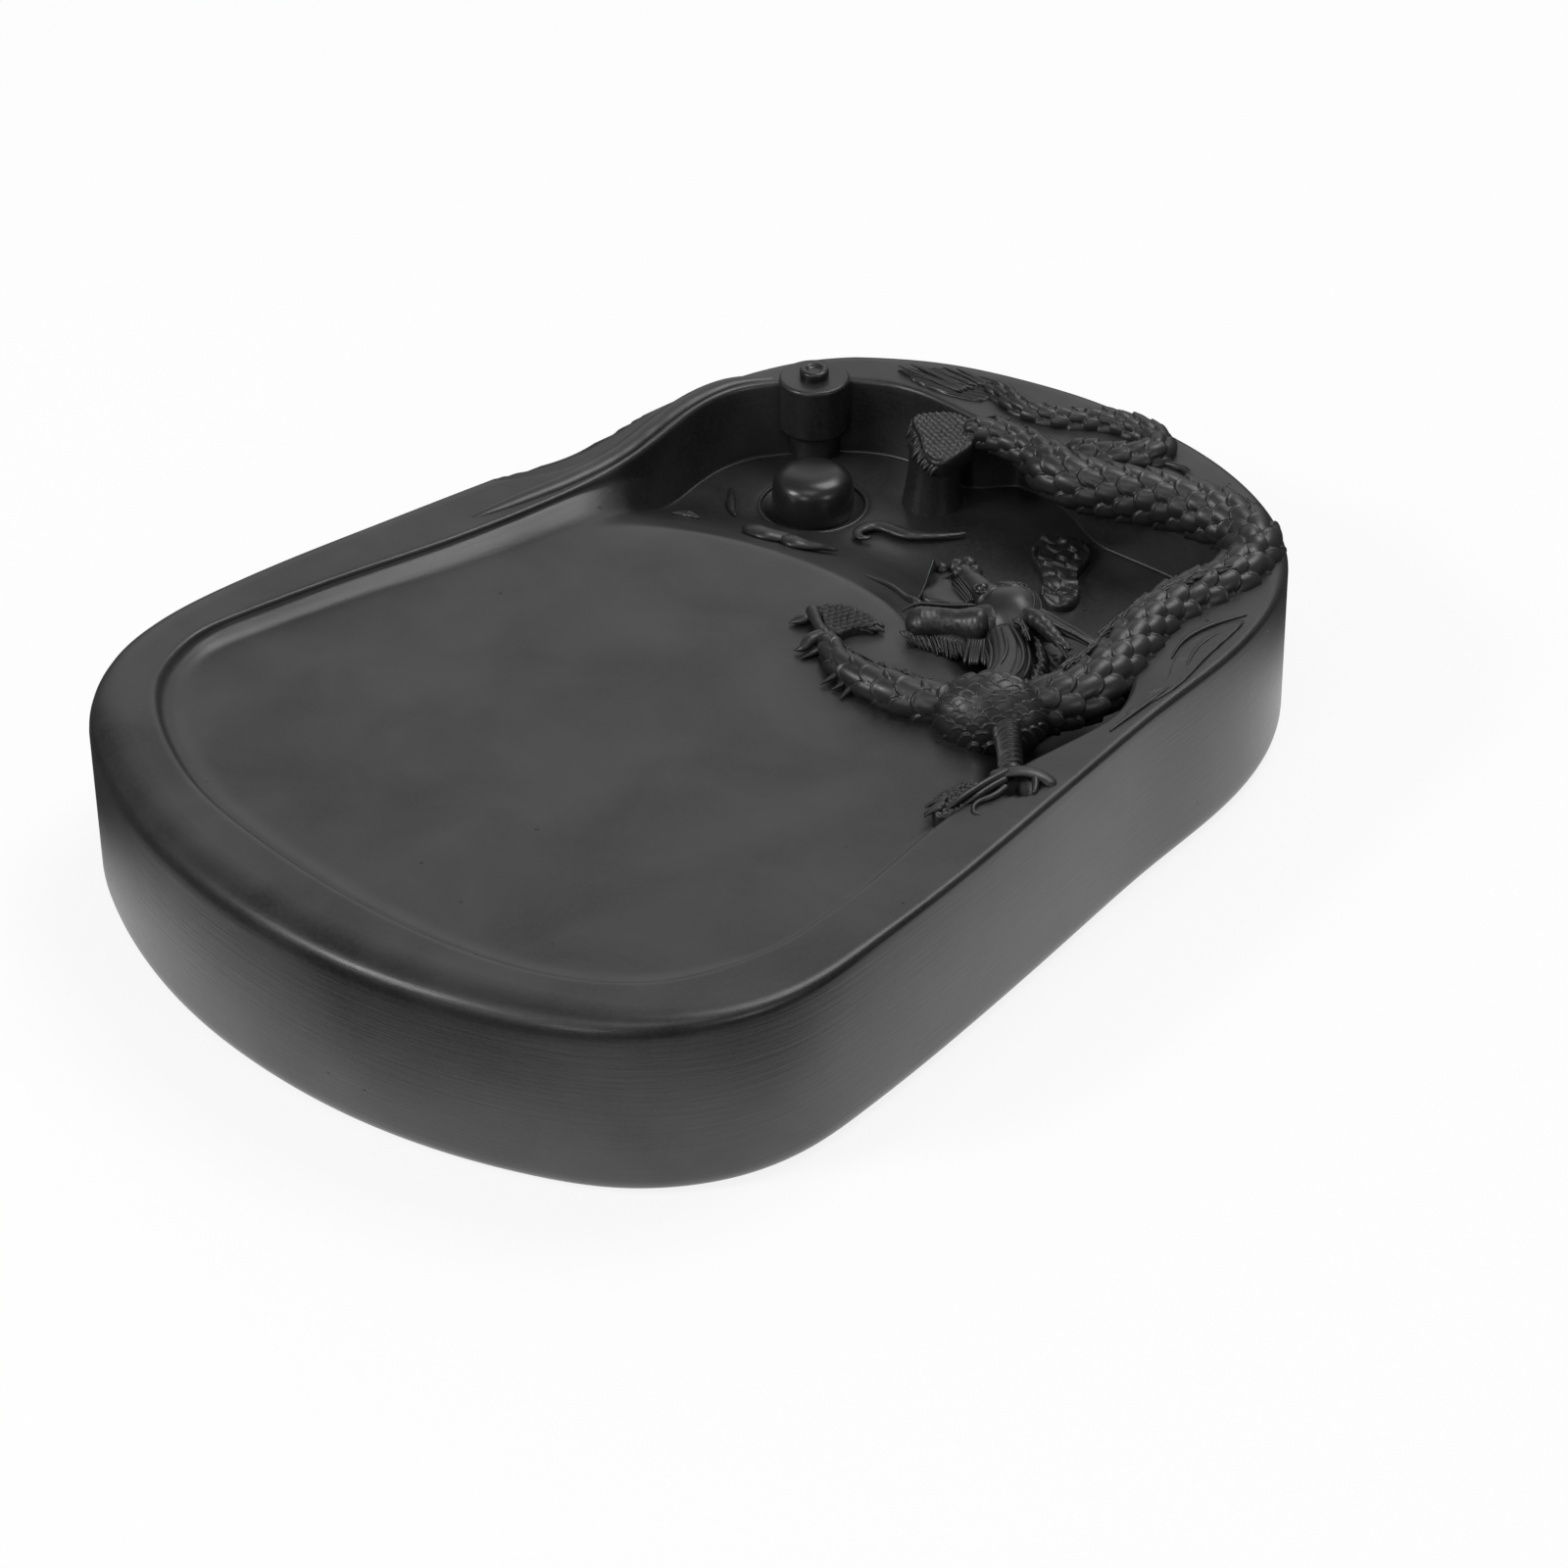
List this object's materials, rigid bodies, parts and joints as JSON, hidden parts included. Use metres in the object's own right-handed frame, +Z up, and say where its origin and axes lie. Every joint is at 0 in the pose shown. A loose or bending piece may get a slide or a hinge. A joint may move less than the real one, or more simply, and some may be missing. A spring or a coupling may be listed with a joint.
{
  "type": "ink stone",
  "caption": "Carved dark ink stone with a low rim, a shallow grinding bed, a sloping ink well and a raised dragon chasing a pearl at its far end.",
  "frame": {"origin": "middle of the block's footprint, on the surface that it stands on", "axes": "+Z up, +Y towards the far end with the well and the dragon, +X to the user's right"},
  "size_m": [0.1102, 0.15, 0.0273],
  "materials": {
    "slab_stone": "satin, finely ground, dark grey",
    "carved_stone": "satin, carved and rubbed, dark grey",
    "pearl_stone": "polished, dark grey"
  },
  "bodies": {
    "root": {"ink_slab": "slab_stone", "rim_scroll_end": "slab_stone", "rim_bead": "slab_stone", "rim_button": "pearl_stone", "pearl": "pearl_stone", "pearl_seat": "slab_stone", "cloud_front": "carved_stone", "cloud_hook": "carved_stone", "cloud_wisps": "carved_stone", "dragon_trunk_front": "carved_stone", "dragon_trunk_rear": "carved_stone", "dragon_tail": "carved_stone", "tail_tuft": "carved_stone", "paw_rock": "slab_stone", "pool_rock": "carved_stone", "hind_leg": "carved_stone", "hind_paw": "carved_stone", "chest": "carved_stone", "spine_fin": "carved_stone", "neck": "carved_stone", "skull": "carved_stone", "snout": "carved_stone", "lower_jaw": "carved_stone", "beard": "carved_stone", "mane": "carved_stone", "eye_near": "carved_stone", "eye_far": "carved_stone", "brow": "carved_stone", "horn_upper": "carved_stone", "horn_lower": "carved_stone", "whisker": "carved_stone", "left_foreleg": "carved_stone", "left_forepaw": "carved_stone", "left_paw_hair": "carved_stone", "elbow_hair": "carved_stone", "right_foreleg": "carved_stone", "right_forepaw": "carved_stone", "right_paw_hair": "carved_stone", "rim_cloud": "carved_stone", "rim_tendril": "carved_stone"}
  },
  "joints": []
}
